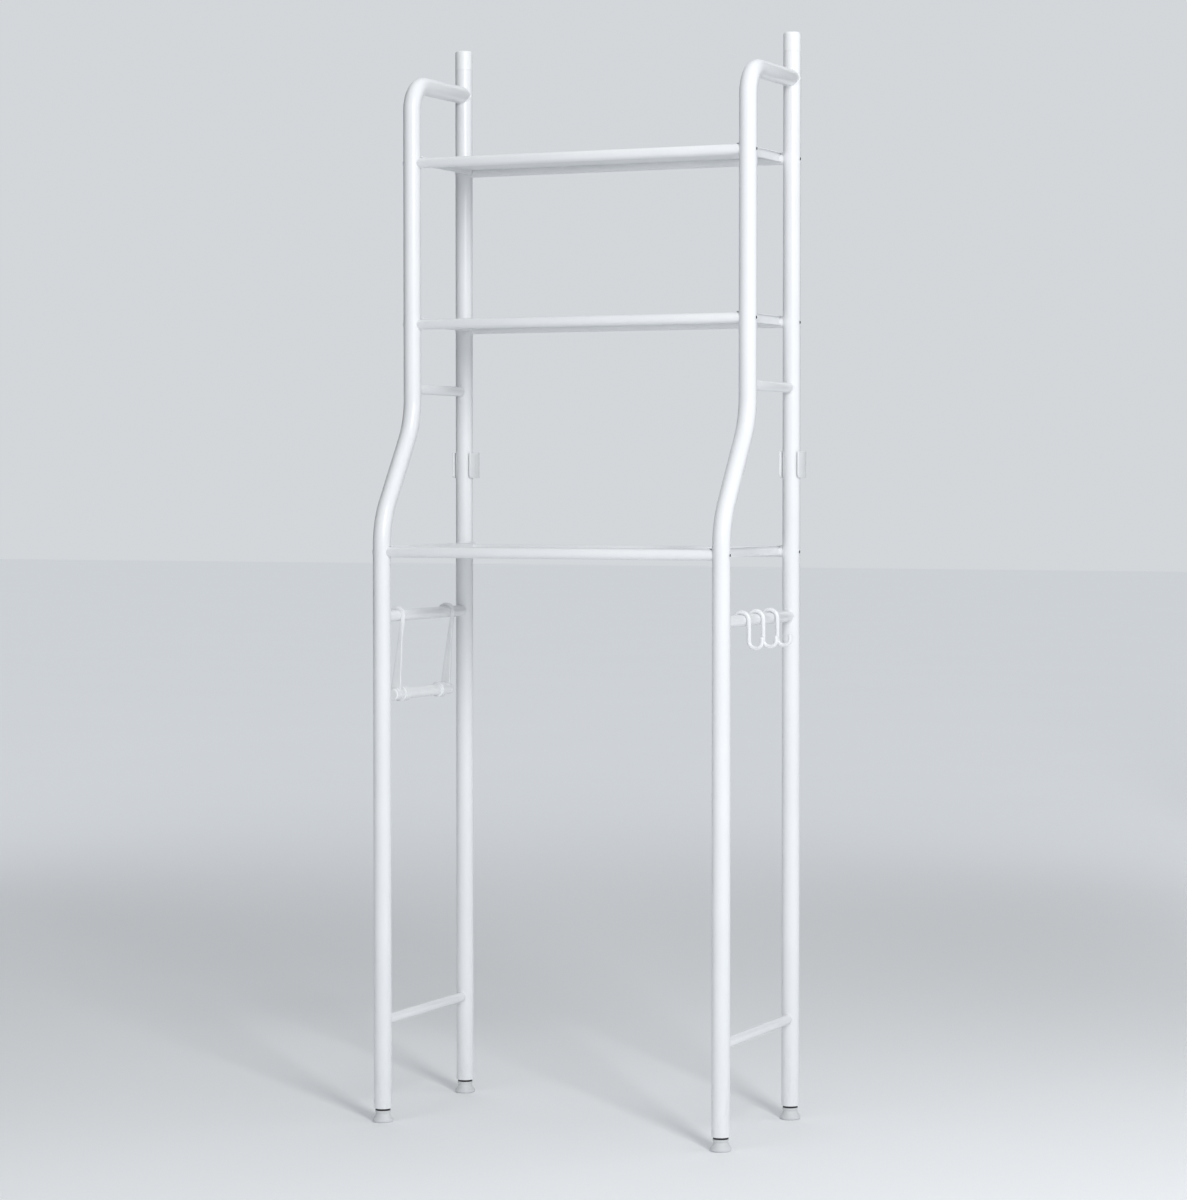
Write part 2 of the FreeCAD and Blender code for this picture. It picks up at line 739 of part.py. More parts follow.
def make_hook(name, y):
    """An S hook: clipped over the bar from the inside, down its outer side, and out into a U."""
    body = new_body(name)
    ring = (HANG_BAR + WIRE) / 2 + size("hook_gap")
    curl = size("hook_radius")
    drop = size("hook_drop")
    tip_x = ring + curl * 2
    wrap = math.radians(SIZES["hook_wrap"])
    up = Vector(0, 0, 1)
    foot = -drop.value
    path = sketch_on(body, "XZ_Plane", "path")
    tip = path.addGeometry(Part.LineSegment(
        Vector(tip_x.value, foot + SIZES["hook_tip"], 0), Vector(tip_x.value, foot, 0)))
    curve = path.addGeometry(Part.ArcOfCircle(
        Part.Circle(Vector(ring.value + curl.value, foot, 0), up, curl.value),
        math.pi, 2 * math.pi))
    shank = path.addGeometry(Part.LineSegment(
        Vector(ring.value, foot, 0), Vector(ring.value, 0, 0)))
    over = path.addGeometry(Part.ArcOfCircle(Part.Circle(Vector(), up, ring.value), 0, wrap))
    for joint in ((tip, 2, curve, 2), (curve, 1, shank, 1), (shank, 2, over, 1)):
        path.addConstraint(Sketcher.Constraint("Tangent", *joint))
    path.addConstraint(Sketcher.Constraint("Coincident", over, 3, -1, 1))
    path.addConstraint(Sketcher.Constraint("Vertical", shank))
    path.addConstraint(Sketcher.Constraint("Vertical", tip))
    dimension(path, "Radius", over, ring)
    dimension(path, "Radius", curve, curl)
    dimension(path, "DistanceY", shank, 1, shank, 2, drop)
    dimension(path, "DistanceY", tip, 2, tip, 1, size("hook_tip"))
    end_x = Size(ring.value * math.cos(wrap), f"({ring.text} * cos(Sizes.hook_wrap * 1 deg))")
    dimension(path, "DistanceX", -1, 1, over, 2, end_x)
    section = sketch_on(body, "XY_Plane", "section", size("hook_tip") - drop)
    circle(section, WIRE, tip_x, 0)
    wire = pipe(body, section, path)
    doc.recompute()
    fillet(body, wire, flat_face_edges(wire.Shape), size("wire_end_round"))
    place(body, WIDTH / 2, y, size("hang_bar_height"))


HOOKS = ("front", "middle", "rear")
for number, row in enumerate(HOOKS):
    make_hook(f"{row}_hook", size("first_hook") + size("hook_spacing") * number
              - size("lower_depth"))

# ---------------------------------------------------------------- paper holder

ROLLER_FACE = size("boss_reach") + size("boss_gap")


def arm_rotation(facing):
    """Local Y up and local Z towards the roller; local X then points to the side it must."""
    return Rotation(Vector(-facing, 0, 0), Vector(0, 0, 1), Vector(0, facing, 0), "ZXY")


def make_paper_arm(name, facing, y):
    """An arm: a hook over the bar, a strap that widens downwards and a boss for the peg."""
    body = new_body(name)
    mirror = -facing
    inner = HANG_BAR / 2 + size("arm_gap")
    outer = inner + size("arm_band")
    hook_end = 180 + SIZES["arm_hook_end"]
    knee = size("arm_knee")
    knee_low = -size("arm_knee_drop")
    shift = -size("roller_shift")
    foot = size("boss_diameter") / 2 - size("arm_foot_inset")
    drop = -size("roller_drop")
    half_plate = size("arm_plate") / 2

    strap = sketch_on(body, "XY_Plane", "strap", -half_plate)
    outline(strap, [(inner * mirror, 0), (outer * mirror, 0), (knee * mirror, knee_low),
                    ((shift + foot) * mirror, drop), ((shift - foot) * mirror, drop)])
    pad(body, strap, size("arm_plate"))

    hook = sketch_on(body, "XY_Plane", "hook", -half_plate)
    start = math.pi - math.radians(hook_end) if mirror < 0 else 0
    sweep = math.radians(hook_end)
    arcs = []
    for radius in (inner, outer):
        ring = Part.Circle(Vector(), Vector(0, 0, 1), radius.value)
        arcs.append(hook.addGeometry(Part.ArcOfCircle(ring, start, start + sweep)))
    ends = []
    for angle in (start, start + sweep):
        along = Vector(math.cos(angle), math.sin(angle), 0)
        ends.append(hook.addGeometry(Part.LineSegment(along * inner.value,
                                                      along * outer.value)))
    for arc, vertex in zip(arcs, (1, 2)):
        for end, corner in zip(ends, (1, 2)):
            hook.addConstraint(Sketcher.Constraint("Coincident", arc, corner, end, vertex))
        hook.addConstraint(Sketcher.Constraint("Coincident", arc, 3, -1, 1))
    dimension(hook, "Radius", arcs[0], inner)
    dimension(hook, "Radius", arcs[1], outer)
    flat, free = (ends[0], ends[1]) if mirror > 0 else (ends[1], ends[0])
    hook.addConstraint(Sketcher.Constraint("Horizontal", flat))
    turn = math.radians(SIZES["arm_hook_end"])
    low_end = Size(-inner.value * math.sin(turn),
                   f"(-1 * {inner.text} * sin(Sizes.arm_hook_end * 1 deg))")
    dimension(hook, "DistanceY", -1, 1, free, 1, low_end)
    pad(body, hook, size("arm_plate"))

    boss = sketch_on(body, "XY_Plane", "boss", -size("boss_back"))
    circle(boss, size("boss_diameter"), shift * mirror, drop)
    joined = pad(body, boss, size("boss_back") + size("boss_reach"))
    doc.recompute()
    low = -size("boss_back").value
    high = size("boss_reach").value
    rims = edges_where(joined.Shape, lambda middle: not low + TOUCH < middle.z < high - TOUCH)
    fillet(body, joined, rims, size("boss_round"))
    socket = sketch_on(body, "XY_Plane", "socket", size("boss_reach"))
    circle(socket, size("peg_diameter") + size("peg_clearance") * 2, shift * mirror, drop)
    cut = body.newObject("PartDesign::Pocket", f"{name}_socket_cut")
    cut.Profile = socket
    depth = size("peg_length") + size("peg_end_gap") - size("boss_gap")
    cut.setExpression("Length", depth.text)
    place(body, -WIDTH / 2, y, size("hang_bar_height"), arm_rotation(facing))


def make_roller_plug(name, facing, y):
    """A roller end: a peg for the arm's boss, a collar and a spigot inside the tube."""
    body = new_body(name)
    peg = size("peg_diameter") / 2
    collar = size("collar_diameter") / 2
    spigot = size("roller_diameter") / 2 - size("roller_wall") - size("plug_fit")
    face = ROLLER_FACE
    tip = face - size("peg_length")
    inside = face + size("collar_length")
    half = sketch_on(body, "XZ_Plane", "half")
    outline(half, [(0, tip), (peg, tip), (peg, face), (collar, face), (collar, inside),
                   (spigot, inside), (spigot, inside + size("roller_spigot")),
                   (0, inside + size("roller_spigot"))])
    turned = revolve(body, half)
    doc.recompute()
    rims = []
    for height in (face, inside):
        rims += rings_at(turned.Shape, collar.value, height.value)
    fillet(body, turned, rims, size("collar_round"))
    place(body, -WIDTH / 2 - size("roller_shift"), y,
          size("hang_bar_height") - size("roller_drop"), arm_rotation(facing))


def make_roller_tube(name, y):
    """The tube between the two collars."""
    body = new_body(name)
    end = ROLLER_FACE + size("collar_length")
    length = size("arm_spacing") - end * 2
    section = ring_sketch(body, size("roller_diameter"), size("roller_wall"))
    pad(body, section, length)
    place(body, -WIDTH / 2 - size("roller_shift"), y + end,
          size("hang_bar_height") - size("roller_drop"), ALONG_Y)


FRONT_ARM = size("arm_first") - size("lower_depth")
REAR_ARM = FRONT_ARM + size("arm_spacing")
for row, facing, y in (("front", 1, FRONT_ARM), ("rear", -1, REAR_ARM)):
    make_paper_arm(f"paper_{row}_arm", facing, y)
    make_roller_plug(f"paper_roller_{row}_plug", facing, y)
make_roller_tube("paper_roller_tube", FRONT_ARM)

# ---------------------------------------------------------------- check and write

doc.recompute()
for item in doc.Objects:
    if "Invalid" in item.State or "Error" in item.State:
        raise RuntimeError(f"{item.Name} did not recompute: {item.State}")
for name, item in parts.items():
    if item.Shape.isNull() or not item.Shape.isValid():
        raise RuntimeError(f"{name} has no valid shape")

os.makedirs("parts", exist_ok=True)
for name, item in parts.items():
    item.Shape.exportStep(f"parts/{name}.step")
    print(f"{name}: {item.Shape.Volume / 1000:.2f} cm3, {len(item.Shape.Solids)} solid(s)")
whole = Part.makeCompound([item.Shape for item in parts.values()]).BoundBox
print(f"{len(parts)} sub-parts, box {whole}")
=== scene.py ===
import json
import math
import random

import bmesh
import bpy
from mathutils import Matrix, Vector

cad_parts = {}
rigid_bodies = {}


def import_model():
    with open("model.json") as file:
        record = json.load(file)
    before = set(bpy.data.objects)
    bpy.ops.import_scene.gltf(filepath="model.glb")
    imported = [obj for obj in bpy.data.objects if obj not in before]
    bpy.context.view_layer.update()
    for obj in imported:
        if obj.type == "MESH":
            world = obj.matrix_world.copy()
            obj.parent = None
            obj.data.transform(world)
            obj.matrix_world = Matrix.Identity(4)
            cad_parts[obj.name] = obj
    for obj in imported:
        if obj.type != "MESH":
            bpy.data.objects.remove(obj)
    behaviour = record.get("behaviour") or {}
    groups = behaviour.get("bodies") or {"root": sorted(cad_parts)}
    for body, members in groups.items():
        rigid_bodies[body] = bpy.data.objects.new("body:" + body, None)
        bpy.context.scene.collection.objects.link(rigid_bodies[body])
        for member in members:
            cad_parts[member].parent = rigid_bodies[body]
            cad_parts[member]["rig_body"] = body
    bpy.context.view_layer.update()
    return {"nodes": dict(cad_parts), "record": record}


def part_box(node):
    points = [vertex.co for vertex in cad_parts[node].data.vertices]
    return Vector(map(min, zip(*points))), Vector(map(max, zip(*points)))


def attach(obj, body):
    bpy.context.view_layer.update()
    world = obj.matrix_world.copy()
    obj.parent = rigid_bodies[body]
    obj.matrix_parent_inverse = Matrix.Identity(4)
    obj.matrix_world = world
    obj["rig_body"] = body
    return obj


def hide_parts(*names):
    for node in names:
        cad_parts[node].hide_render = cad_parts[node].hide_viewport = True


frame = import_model()
nodes = frame["nodes"]
scene = bpy.context.scene

MM = 0.001
WELDED = 0.001 * MM
SIDES = ("left", "right")
SHELVES = ("bottom", "middle", "top")
UP = Vector((0, 0, 1))
BACK = Vector((0, 1, 0))
RIGHT = Vector((1, 0, 0))

# ---------------------------------------------------------------- places taken from the frame


def centre(node):
    """Middle of a CAD node's box."""
    low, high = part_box(node)
    return (low + high) / 2


def half_size(node):
    """Half of a CAD node's box, on each axis."""
    low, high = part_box(node)
    return (high - low) / 2


POST_RADIUS = half_size("right_rear_post").x
POST_X = {side: centre(f"{side}_rear_post").x for side in SIDES}
REAR_Y = centre("right_rear_post").y
UPPER_Y = centre("top_shelf_front_rail").y
LOWER_Y = centre("bottom_shelf_front_rail").y
POST_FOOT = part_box("right_front_post")[0].z
ARM_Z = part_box("right_front_post")[1].z - POST_RADIUS

# The front post's bends, as its tube is made
OFFSET_START = 807 * MM
OFFSET_RADIUS = 107 * MM
OFFSET_ANGLE = math.radians(33.5)
ARM_RADIUS = 38 * MM

# ---------------------------------------------------------------- materials

# Grain that runs along the height
TALL_GRAIN = (1, 1, 0.1)
TALL_MARKS = (1, 1, 0.25)

# Heights between which the posts' scuffs fade out
SCUFFED_BELOW = 20 * MM
CLEAN_ABOVE = 160 * MM

# Pores per metre of the foam
PORES = 1100

class Paint:
    """A principled material with procedural detail in the row frame's own metres."""

    def __init__(self, name):
        self.material = bpy.data.materials.new(name)
        self.material.use_nodes = True
        self.tree = self.material.node_tree
        self.shader = self.tree.nodes["Principled BSDF"]
        self.place = self.tree.nodes.new("ShaderNodeTexCoord").outputs["Object"]
        self.bumps = None

    def link(self, source, target):
        self.tree.links.new(source, target)

    def set(self, **values):
        """Set uniform sockets of the shader, such as coat_weight=0.2."""
        for name, value in values.items():
            label = name.replace("_", " ").title().replace("Ior", "IOR")
            self.shader.inputs[label].default_value = value

    def noise(self, scale, detail=3.0, rough=0.5, stretch=(1, 1, 1)):
        """A noise pattern; scale is in features per metre."""
        mapping = self.tree.nodes.new("ShaderNodeMapping")
        mapping.inputs["Scale"].default_value = stretch
        self.link(self.place, mapping.inputs["Vector"])
        texture = self.tree.nodes.new("ShaderNodeTexNoise")
        texture.inputs["Scale"].default_value = scale
        texture.inputs["Detail"].default_value = detail
        texture.inputs["Roughness"].default_value = rough
        self.link(mapping.outputs["Vector"], texture.inputs["Vector"])
        return texture.outputs["Fac"]

    def cells(self, scale):
        """A cell pattern, dark in the middle of each cell."""
        texture = self.tree.nodes.new("ShaderNodeTexVoronoi")
        texture.inputs["Scale"].default_value = scale
        self.link(self.place, texture.inputs["Vector"])
        return texture.outputs["Distance"]

    def ramp(self, value, low, high, out_low=0.0, out_high=1.0):
        """Map a value from one range to another, clamped."""
        node = self.tree.nodes.new("ShaderNodeMapRange")
        node.interpolation_type = "SMOOTHSTEP"
        for socket, number in (("From Min", low), ("From Max", high), ("To Min", out_low),
                               ("To Max", out_high)):
            node.inputs[socket].default_value = number
        self.link(value, node.inputs["Value"])
        return node.outputs["Result"]

    def multiply(self, first, second):
        """The product of two patterns."""
        node = self.tree.nodes.new("ShaderNodeMath")
        node.operation = "MULTIPLY"
        self.link(first, node.inputs[0])
        self.link(second, node.inputs[1])
        return node.outputs["Value"]

    def height(self):
        """The height above the floor."""
        node = self.tree.nodes.new("ShaderNodeSeparateXYZ")
        self.link(self.place, node.inputs["Vector"])
        return node.outputs["Z"]

    def blend(self, amount, first, second):
        """A colour between two, each a colour or a socket."""
        node = self.tree.nodes.new("ShaderNodeMix")
        node.data_type = "RGBA"
        self.link(amount, node.inputs["Factor"])
        for socket, colour in ((node.inputs["A"], first), (node.inputs["B"], second)):
            if isinstance(colour, tuple):
                socket.default_value = (*colour, 1)
            else:
                self.link(colour, socket)
        return node.outputs["Result"]

    def colour(self, socket):
        self.link(socket, self.shader.inputs["Base Color"])

    def roughness(self, socket):
        self.link(socket, self.shader.inputs["Roughness"])

    def bump(self, height, distance, strength=1.0):
        """Raise the surface by a pattern; calls add up."""
        node = self.tree.nodes.new("ShaderNodeBump")
        node.inputs["Distance"].default_value = distance
        node.inputs["Strength"].default_value = strength
        self.link(height, node.inputs["Height"])
        if self.bumps is not None:
            self.link(self.bumps, node.inputs["Normal"])
        self.bumps = node.outputs["Normal"]
        self.link(self.bumps, self.shader.inputs["Normal"])


def powder_coat(name, peel=1.0):
    """White powder coat: faint orange peel, slow gloss changes, scuffs low on the posts."""
    paint = Paint(name)
    tone = paint.blend(paint.ramp(paint.noise(9), 0.35, 0.65), (0.835, 0.845, 0.86),
                       (0.855, 0.862, 0.872))
    low = paint.ramp(paint.height(), SCUFFED_BELOW, CLEAN_ABOVE, 1.0, 0.0)
    marks = paint.ramp(paint.noise(130, 6, 0.7, TALL_MARKS), 0.45, 0.75)
    scuffs = paint.multiply(low, marks)
    paint.colour(paint.blend(scuffs, tone, (0.77, 0.78, 0.79)))
    paint.roughness(paint.ramp(paint.noise(38, 4), 0.3, 0.7, 0.29, 0.37))
    paint.bump(paint.noise(600, 2), 0.02 * MM, peel)
    paint.bump(paint.noise(1600, 2), 0.01 * MM, peel)
    paint.set(coat_weight=0.25, coat_roughness=0.12, specular_ior_level=0.5)
    return paint.material


def moulded_plastic(name, first, second, rough=(0.30, 0.4), grain=0.5):
    """Moulded plastic with a fine spark-eroded grain and slight flow marks."""
    paint = Paint(name)
    paint.colour(paint.blend(paint.ramp(paint.noise(30, 4), 0.35, 0.65), first, second))
    paint.roughness(paint.ramp(paint.noise(90, 3), 0.3, 0.7, *rough))
    paint.bump(paint.noise(2600, 2), 0.03 * MM, grain)
    paint.bump(paint.noise(160, 2), 0.05 * MM, 0.3)
    paint.set(specular_ior_level=0.5)
    return paint.material


def zinc_steel(name):
    """Bright zinc plate with a fine drawn grain."""
    paint = Paint(name)
    paint.colour(paint.blend(paint.noise(220, 5), (0.50, 0.51, 0.53), (0.68, 0.69, 0.70)))
    paint.roughness(paint.ramp(paint.noise(500, 4, 0.6, TALL_GRAIN), 0.3, 0.7, 0.29, 0.44))
    paint.bump(paint.noise(1200, 3, 0.6, TALL_GRAIN), 0.02 * MM, 0.4)
    paint.set(metallic=1.0)
    return paint.material


def socket_steel_and_shade(name):
    """Bare steel inside a bolt's socket, its colour darkened to near-black as painted shade down
    in the socket.
    """
    paint = Paint(name)
    # Near-black colour: dark bare steel, plus painted shade for the socket's depth
    paint.colour(paint.blend(paint.noise(900, 4), (0.018, 0.019, 0.022), (0.05, 0.05, 0.055)))
    paint.roughness(paint.ramp(paint.noise(1500, 2), 0.3, 0.7, 0.35, 0.6))
    paint.bump(paint.noise(1800, 3), 0.03 * MM, 0.5)
    paint.set(metallic=0.6)
    return paint.material


def foam_tape(name):
    """Closed-cell foam, off-white, with small pores on its cut edges; the pores are painted
    darker as painted shade in their pits.
    """
    paint = Paint(name)
    # Darker towards each pore's middle, where the bump sinks it: painted shade in the pores
    paint.colour(paint.blend(paint.ramp(paint.cells(PORES), 0.1, 0.6), (0.52, 0.52, 0.50),
                             (0.72, 0.72, 0.70)))
    paint.roughness(paint.ramp(paint.noise(400), 0.3, 0.7, 0.7, 0.9))
    paint.bump(paint.cells(PORES), 0.25 * MM, 0.7)
    return paint.material


MATERIALS = {
    "frame_coat": powder_coat("frame_powder_coat"),
    "panel_coat": powder_coat("panel_powder_coat", 0.8),
    "wire_coat": powder_coat("wire_powder_coat", 0.6),
    "bolt_coat": powder_coat("bolt_powder_coat", 0.6),
    "white_plastic": moulded_plastic("white_plastic", (0.84, 0.85, 0.86), (0.88, 0.89, 0.895)),
    "foot_plastic": moulded_plastic("foot_plastic", (0.64, 0.65, 0.66), (0.70, 0.71, 0.72),
                                    (0.42, 0.55), 0.8),
    "black_plastic": moulded_plastic("black_plastic", (0.012, 0.012, 0.014),
                                     (0.028, 0.028, 0.03), (0.4, 0.55), 0.8),
    "zinc_steel": zinc_steel("zinc_steel"),
    "foam_tape": foam_tape("foam_tape"),
}
# Material for the bolts' sockets: bare steel colour darkened as painted shade
SOCKET_STEEL_AND_SHADE = socket_steel_and_shade("bolt_socket")
NODE_SLOTS = {part["node"]: part["material_slot"] for part in frame["record"]["subparts"]}

# ---------------------------------------------------------------- mesh tools


def add_piece(name, mesh, body, slot, replaced=(), smooth_angle=35):
    """Put a mesh in the scene as a piece that rides on a body and takes a slot's material."""
    mesh.shade_smooth()
    mesh.set_sharp_from_angle(angle=math.radians(smooth_angle))
    piece = bpy.data.objects.new(name, mesh)
    scene.collection.objects.link(piece)
    if not mesh.materials:
        mesh.materials.append(MATERIALS[slot])
    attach(piece, body)
    if replaced:
        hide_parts(*replaced)


def mesh_from(shape, name):
    """Turn a bmesh into a mesh with outward faces."""
    bmesh.ops.recalc_face_normals(shape, faces=shape.faces)
    mesh = bpy.data.meshes.new(name)
    shape.to_mesh(mesh)
    shape.free()
    return mesh


def join_rings(shape, rings, loop=False):
    """Skin a list of equal rings of vertices, and return the new faces."""
    faces = []
    pairs = list(zip(rings, rings[1:]))
    if loop:
        pairs.append((rings[-1], rings[0]))
    for first, second in pairs:
        count = max(len(first), len(second))
        for i in range(count):
            j = (i + 1) % count
            corners = [first[i], first[j]] if len(first) > 1 else list(first)
            corners += [second[j], second[i]] if len(second) > 1 else second
            faces.append(shape.faces.new(corners))
    return faces


def tube_ring(shape, middle, along, side, radius, sides):
    """A ring of vertices round a point, square to a direction."""
    across = (side - along * side.dot(along)).normalized()
    other = along.cross(across)
    ring = []
    for k in range(sides):
        turn = 2 * math.pi * k / sides
        ring.append(shape.verts.new(middle + (across * math.cos(turn)
                                              + other * math.sin(turn)) * radius))
    return ring


TUBE_SIDES = 64
BEAD_SIDES = 14
LATHE_SEGMENTS = 72
END_ROUND = 0.4 * MM

# Steps of a bar's rounded end, in degrees, from its flat to its side
END_TURNS = (0, 30, 60)


def sweep(shape, path, radius, side=RIGHT):
    """A round bar along an open path, with slightly rounded ends."""
    rings = []
    last = len(path) - 1
    for index, point in enumerate(path):
        along = (path[min(index + 1, last)] - path[max(index - 1, 0)]).normalized()
        if index == 0:
            for turn in END_TURNS:
                rings.append(rounded_end(shape, point, along, along, side, radius, turn))
            point = point + along * END_ROUND
        if index == last:
            point = point - along * END_ROUND
        rings.append(tube_ring(shape, point, along, side, radius, TUBE_SIDES))
        if index == last:
            for turn in reversed(END_TURNS):
                rings.append(rounded_end(shape, path[last], -along, along, side, radius, turn))
    shape.faces.new(rings[0])
    shape.faces.new(rings[-1])
    join_rings(shape, rings)


def rounded_end(shape, tip, inward, along, side, radius, turn):
    """One ring of a bar's rounded end; turn runs from 0 on the flat to 90 on the side."""
    angle = math.radians(turn)
    middle = tip + inward * END_ROUND * (1 - math.cos(angle))
    size = radius - END_ROUND * (1 - math.sin(angle))
    return tube_ring(shape, middle, along, side, size, TUBE_SIDES)


def loop_bead(shape, path, radius):
    """A closed bead along a loop of points; radius is a function of the point's number."""
    count = len(path)
    middle = sum(path, Vector()) / count
    rings = []
    for index, point in enumerate(path):
        along = (path[(index + 1) % count] - path[index - 1]).normalized()
        rings.append(tube_ring(shape, point, along, point - middle, radius(index),
                               BEAD_SIDES))
    join_rings(shape, rings, loop=True)


def lathe(shape, profile, place):
    """Turn a profile of (radius, height) pairs about Z, then move it to its place.

    A radius of 0 is a point on the axis, and a radius may be a function of the angle.
    """
    rings = []
    for radius, height in profile:
        if radius == 0:
            rings.append([shape.verts.new(place @ Vector((0, 0, height)))])
            continue
        ring = []
        for k in range(LATHE_SEGMENTS):
            turn = 2 * math.pi * k / LATHE_SEGMENTS
            size = radius(turn) if callable(radius) else radius
            ring.append(shape.verts.new(place @ Vector((size * math.cos(turn),
                                                        size * math.sin(turn), height))))
        rings.append(ring)
    return join_rings(shape, rings)


def arc_points(middle, radius, first, last, steps):
    """Points on an arc in the (first, second) plane, angles in degrees."""
    points = []
    for k in range(steps + 1):
        turn = math.radians(first + (last - first) * k / steps)
        points.append((middle[0] + radius * math.cos(turn), middle[1] + radius * math.sin(turn)))
    return points


FLAT_ANGLE = math.radians(1)
SHARP_ANGLE = math.radians(40)


def refine(node, width, segments=3):
    """Stand for a CAD node with a copy whose sharp outer edges are rounded."""
    shape = bmesh.new()
    shape.from_mesh(nodes[node].data)
    bmesh.ops.remove_doubles(shape, verts=shape.verts, dist=WELDED)
    bmesh.ops.dissolve_limit(shape, angle_limit=FLAT_ANGLE, verts=shape.verts,
                             edges=shape.edges)
    edges = []
    for edge in shape.edges:
        if edge.is_manifold and edge.is_convex and edge.calc_face_angle() > SHARP_ANGLE:
            edges.append(edge)
    bmesh.ops.bevel(shape, geom=edges, offset=width, segments=segments, profile=0.5,
                    affect="EDGES", clamp_overlap=True)
    mesh = mesh_from(shape, node + "_rounded")
    add_piece(node + "_rounded", mesh, nodes[node]["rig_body"], NODE_SLOTS[node], (node,))


# ---------------------------------------------------------------- side frame tubes


RECESS_HALF = 2.5 * MM
RECESS_DEPTH = 4 * MM

# How far a bar's end runs into the post that it is welded to
BAR_INSET = POST_RADIUS / 3

BEND_STEPS = 24
ARM_BEND_STEPS = 36


def bolt_levels(*shelves):
    """Heights just under and over the bolts of some shelves, for a post's recesses."""
    levels = []
    for shelf in shelves:
        height = centre(f"{shelf}_shelf_front_rail").z
        levels += [height - RECESS_HALF, height + RECESS_HALF]
    return levels


def open_bolt_recesses(shape, side, place_y, shelves):
    """Sink the faces under the bolt heads, so that the bolts' sockets stay open."""
    outward = RIGHT if side == "right" else -RIGHT
    for shelf in shelves:
        middle = Vector((POST_X[side], place_y, centre(f"{shelf}_shelf_front_rail").z))
        middle += outward * POST_RADIUS
        faces = []
        for face in shape.faces:
            if all((vertex.co - middle).length < RECESS_DEPTH for vertex in face.verts):
                faces.append(face)
        sunk = bmesh.ops.extrude_face_region(shape, geom=faces)["geom"]
        corners = [item for item in sunk if isinstance(item, bmesh.types.BMVert)]
        bmesh.ops.translate(shape, verts=corners, vec=-outward * RECESS_DEPTH)
        bmesh.ops.delete(shape, geom=[face for face in faces if face.is_valid], context="FACES")


def front_post_path(side):
    """Centre line of a front post, from its foot up, back and along the arm."""
    rise = OFFSET_RADIUS * math.sin(OFFSET_ANGLE)
    shift = OFFSET_RADIUS * (1 - math.cos(OFFSET_ANGLE))
    run = UPPER_Y - LOWER_Y - 2 * shift
    slope = run / math.tan(OFFSET_ANGLE)
    bend_end = OFFSET_START + 2 * rise + slope
    tilt = math.degrees(OFFSET_ANGLE)
    flat = [(LOWER_Y, POST_FOOT)]
    flat += [(LOWER_Y, level) for level in bolt_levels("bottom")]
    flat += arc_points((LOWER_Y + OFFSET_RADIUS, OFFSET_START), OFFSET_RADIUS,
                       180, 180 - tilt, BEND_STEPS)
    flat += arc_points((UPPER_Y - OFFSET_RADIUS, bend_end), OFFSET_RADIUS, -tilt, 0,
                       BEND_STEPS)
    flat += [(UPPER_Y, level) for level in bolt_levels("middle", "top")]
    flat += arc_points((UPPER_Y + ARM_RADIUS, ARM_Z - ARM_RADIUS), ARM_RADIUS, 180, 90,
                       ARM_BEND_STEPS)
    flat.append((REAR_Y - BAR_INSET, ARM_Z))
    return [Vector((POST_X[side], y, z)) for y, z in flat]


def add_tube(shape, node):
    """Stand for a CAD tube of the rack with a smoother one."""
    name = node + "_tube"
    add_piece(name, mesh_from(shape, name), "rack", NODE_SLOTS[node], (node,))


def straight_bar(node, start, end, radius, side=RIGHT):
    """A straight round tube in place of a CAD node."""
    shape = bmesh.new()
    sweep(shape, [start, end], radius, side)
    add_tube(shape, node)


for side in SIDES:
    shape = bmesh.new()
    sweep(shape, front_post_path(side), POST_RADIUS)
    open_bolt_recesses(shape, side, LOWER_Y, ("bottom",))
    open_bolt_recesses(shape, side, UPPER_Y, ("middle", "top"))
    add_tube(shape, f"{side}_front_post")

    node = f"{side}_rear_post"
    low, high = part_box(node)
    shape = bmesh.new()
    levels = [low.z, *bolt_levels(*SHELVES), high.z]
    sweep(shape, [Vector((POST_X[side], REAR_Y, level)) for level in levels], POST_RADIUS)
    open_bolt_recesses(shape, side, REAR_Y, SHELVES)
    add_tube(shape, node)

BARS = [f"{side}_{kind}_crossbar" for side in SIDES for kind in ("mid", "bottom")]
BARS += ["left_paper_bar", "right_hook_bar"]
for node in BARS:
    low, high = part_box(node)
    middle = centre(node)
    inside = BACK * BAR_INSET
    start = Vector((middle.x, low.y, middle.z)) - inside
    end = Vector((middle.x, high.y, middle.z)) + inside
    straight_bar(node, start, end, half_size(node).x)

for shelf in SHELVES:
    for row in ("front", "rear"):
        node = f"{shelf}_shelf_{row}_rail"
        low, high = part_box(node)
        middle = centre(node)
        inside = RIGHT * BAR_INSET
        start = Vector((low.x, middle.y, middle.z)) - inside
        end = Vector((high.x, middle.y, middle.z)) + inside
        straight_bar(node, start, end, half_size(node).z, side=BACK)

# ---------------------------------------------------------------- weld beads


BEAD = 1.0 * MM
BEAD_POINTS = 192
BEAD_RIPPLES = 34
BEAD_RIPPLE = 0.03
BEAD_WANDER = 0.1
BEAD_WAVES = 3

# How far the bead's middle stands off the bar and off the post, in beads
BEAD_OFF_BAR = 0.25
BEAD_OFF_POST = 0.2


